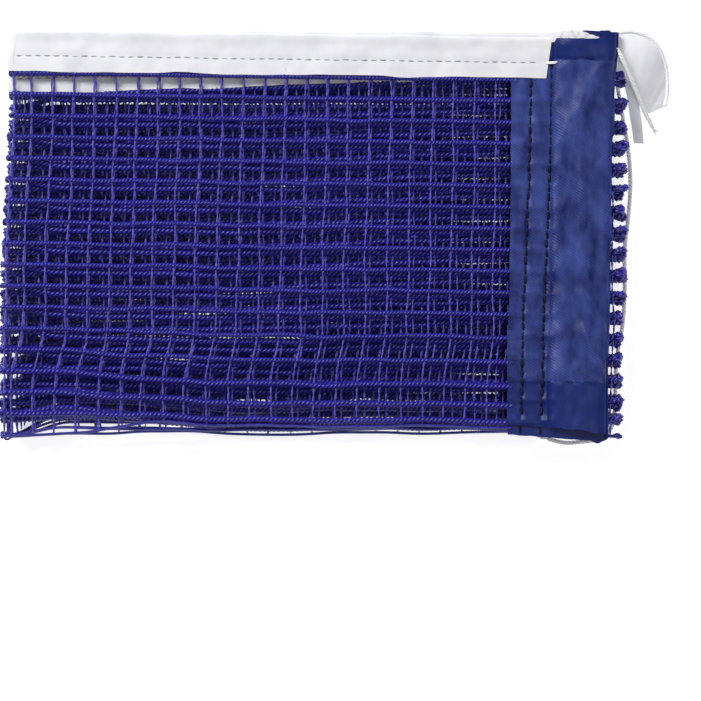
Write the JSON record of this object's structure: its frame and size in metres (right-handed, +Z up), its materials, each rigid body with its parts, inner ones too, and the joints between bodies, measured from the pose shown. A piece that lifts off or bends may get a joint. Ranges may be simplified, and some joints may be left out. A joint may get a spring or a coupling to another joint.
{
  "type": "table tennis net",
  "caption": "Table-tennis net folded zigzag: blue-violet knotted mesh, white canvas head tape with a draw cord inside, and a coated blue sleeve with a post pocket at each end.",
  "frame": {"origin": "on the flat underside of the lowest layer, at the middle of the folded net", "axes": "+X along the folded layers towards the two end sleeves, +Y across the net towards the head tape, +Z up"},
  "size_m": [0.2522, 0.1564, 0.0262],
  "materials": {
    "netting": "knitted synthetic twine, blue-violet",
    "head_tape": "plain-weave cotton canvas, white",
    "cord": "twisted cord, white",
    "sleeve": "coated twill nylon, blue, slightly glossy",
    "tape_thread": "sewing thread, light grey",
    "sleeve_thread": "sewing thread, dark navy"
  },
  "bodies": {
    "layer_1": {"netting_1": "netting", "head_tape_1": "head_tape", "head_cord_1": "cord", "tape_seam_1": "tape_thread", "end_sleeve_a": "sleeve", "sleeve_seam_inner_a": "sleeve_thread", "sleeve_seam_outer_a": "sleeve_thread", "top_hem_thread_a": "sleeve_thread", "bottom_hem_thread_a": "sleeve_thread", "tape_tack_a": "tape_thread", "cord_tail_a": "cord"},
    "layer_2": {"netting_2": "netting", "head_tape_2": "head_tape", "head_cord_2": "cord", "tape_seam_2": "tape_thread"},
    "layer_3": {"netting_3": "netting", "head_tape_3": "head_tape", "head_cord_3": "cord", "tape_seam_3": "tape_thread", "head_tape_loop": "head_tape"},
    "layer_4": {"netting_4": "netting", "head_tape_4": "head_tape", "head_cord_4": "cord", "tape_seam_4": "tape_thread"},
    "layer_5": {"netting_5": "netting", "head_tape_5": "head_tape", "head_cord_5": "cord", "tape_seam_5": "tape_thread"},
    "layer_6": {"netting_6": "netting", "head_tape_6": "head_tape", "head_cord_6": "cord", "tape_seam_6": "tape_thread"},
    "layer_7": {"netting_7": "netting", "head_tape_7": "head_tape", "head_cord_7": "cord", "tape_seam_7": "tape_thread"},
    "layer_8": {"netting_8": "netting", "head_tape_8": "head_tape", "head_cord_8": "cord", "tape_seam_8": "tape_thread", "end_sleeve_b": "sleeve", "sleeve_seam_inner_b": "sleeve_thread", "sleeve_seam_outer_b": "sleeve_thread", "top_hem_thread_b": "sleeve_thread", "bottom_hem_thread_b": "sleeve_thread", "tape_tack_b": "tape_thread", "cord_tail_b": "cord"}
  },
  "joints": [
    {"name": "fold_7_8", "type": "hinge", "parent": "layer_8", "child": "layer_7", "pos_m": [-0.1139, 0.00022, 0.00398], "axis": [-0.0017, -1, 0], "range_deg": [0, 179]},
    {"name": "fold_6_7", "type": "hinge", "parent": "layer_7", "child": "layer_6", "pos_m": [0.11533, -0.00058, 0.0081], "axis": [0.0009, 1, 0], "range_deg": [0, 179]},
    {"name": "fold_5_6", "type": "hinge", "parent": "layer_6", "child": "layer_5", "pos_m": [-0.1139, -0.00098, 0.0106], "axis": [-0.0031, -1, 0], "range_deg": [0, 179]},
    {"name": "fold_4_5", "type": "hinge", "parent": "layer_5", "child": "layer_4", "pos_m": [0.11532, -0.00278, 0.0131], "axis": [-0.0083, 1, 0], "range_deg": [0, 179]},
    {"name": "fold_3_4", "type": "hinge", "parent": "layer_4", "child": "layer_3", "pos_m": [-0.11384, -0.00838, 0.0156], "axis": [0.0297, -0.9996, 0], "range_deg": [0, 179]},
    {"name": "fold_2_3", "type": "hinge", "parent": "layer_3", "child": "layer_2", "pos_m": [0.11525, -0.00038, 0.0181], "axis": [-0.0157, 0.9999, 0], "range_deg": [0, 179], "deforming": ["head_tape_loop"]},
    {"name": "fold_1_2", "type": "hinge", "parent": "layer_2", "child": "layer_1", "pos_m": [-0.11398, 0.00042, 0.0206], "axis": [-0.0087, -1, 0], "range_deg": [0, 179]}
  ],
  "couplings": [
    {"joint": "fold_6_7", "follows": "fold_7_8", "ratio": 1},
    {"joint": "fold_5_6", "follows": "fold_7_8", "ratio": 1},
    {"joint": "fold_4_5", "follows": "fold_7_8", "ratio": 1},
    {"joint": "fold_3_4", "follows": "fold_7_8", "ratio": 1},
    {"joint": "fold_2_3", "follows": "fold_7_8", "ratio": 1},
    {"joint": "fold_1_2", "follows": "fold_7_8", "ratio": 1}
  ]
}
